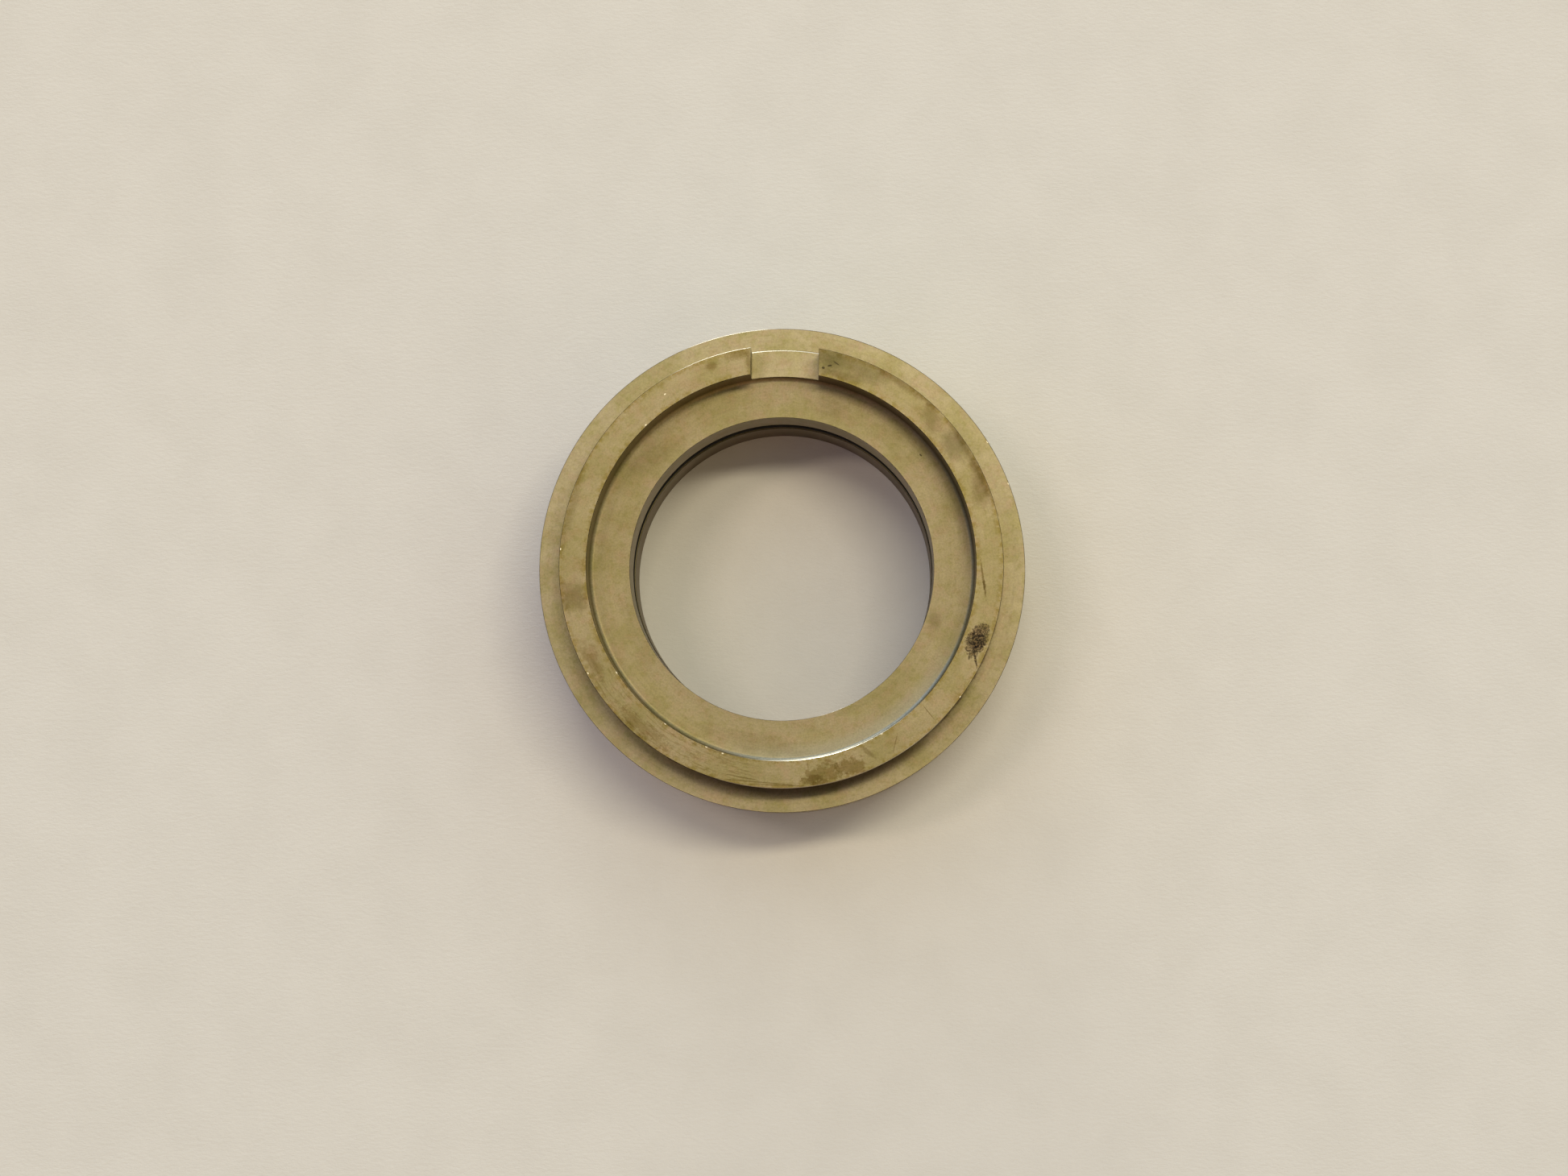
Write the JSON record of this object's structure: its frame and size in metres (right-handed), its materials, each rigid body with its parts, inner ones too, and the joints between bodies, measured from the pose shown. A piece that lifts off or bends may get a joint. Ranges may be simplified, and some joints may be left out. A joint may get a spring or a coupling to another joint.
{
  "type": "shaft collar",
  "caption": "Turned bronze shaft collar with a stepped body, a raised rim round a shallow recess, a drive notch through the rim and a rubber O-ring in its bore.",
  "frame": {"origin": "on the bore's axis, in the plane of the flat back face", "axes": "+Z along the bore from the back face to the rim's face, +Y through the middle of the drive notch"},
  "size_m": [0.072, 0.072, 0.025],
  "materials": {
    "collar_bronze": "satin turned bronze with a thin olive tarnish, darker stains and bright worn edges",
    "seal_rubber": "matt black nitrile rubber"
  },
  "bodies": {
    "root": {"collar_body": "collar_bronze", "bore_o_ring": "seal_rubber"}
  },
  "joints": []
}
